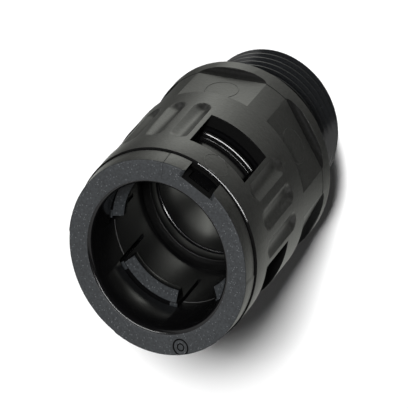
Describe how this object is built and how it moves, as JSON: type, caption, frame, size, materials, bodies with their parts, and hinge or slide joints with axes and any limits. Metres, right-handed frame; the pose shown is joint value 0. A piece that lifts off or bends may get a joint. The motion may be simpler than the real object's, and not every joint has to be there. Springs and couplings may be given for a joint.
{
  "type": "liquidtight conduit connector",
  "caption": "Straight push-in conduit connector with a threaded spigot, hexagonal grip, windowed shell and a claw ring that locks the conduit.",
  "frame": {"origin": "centre of the threaded end, the bottom of the part's box, standing on that end", "axes": "+Z along the bore from the threaded end to the conduit mouth; -Y through the ring's release notch and one window"},
  "size_m": [0.0298, 0.0298, 0.0465],
  "materials": {
    "body": "finely textured black nylon",
    "ring": "spark-textured black nylon",
    "seal": "smooth elastomer"
  },
  "bodies": {
    "body": {"body": "body", "seal_ring": "seal"},
    "ring": {"locking_ring": "ring"}
  },
  "joints": [
    {"name": "ring_slide", "type": "slide", "parent": "body", "child": "ring", "axis": [0, 0, 1], "range_m": [0, 0.0048]}
  ]
}
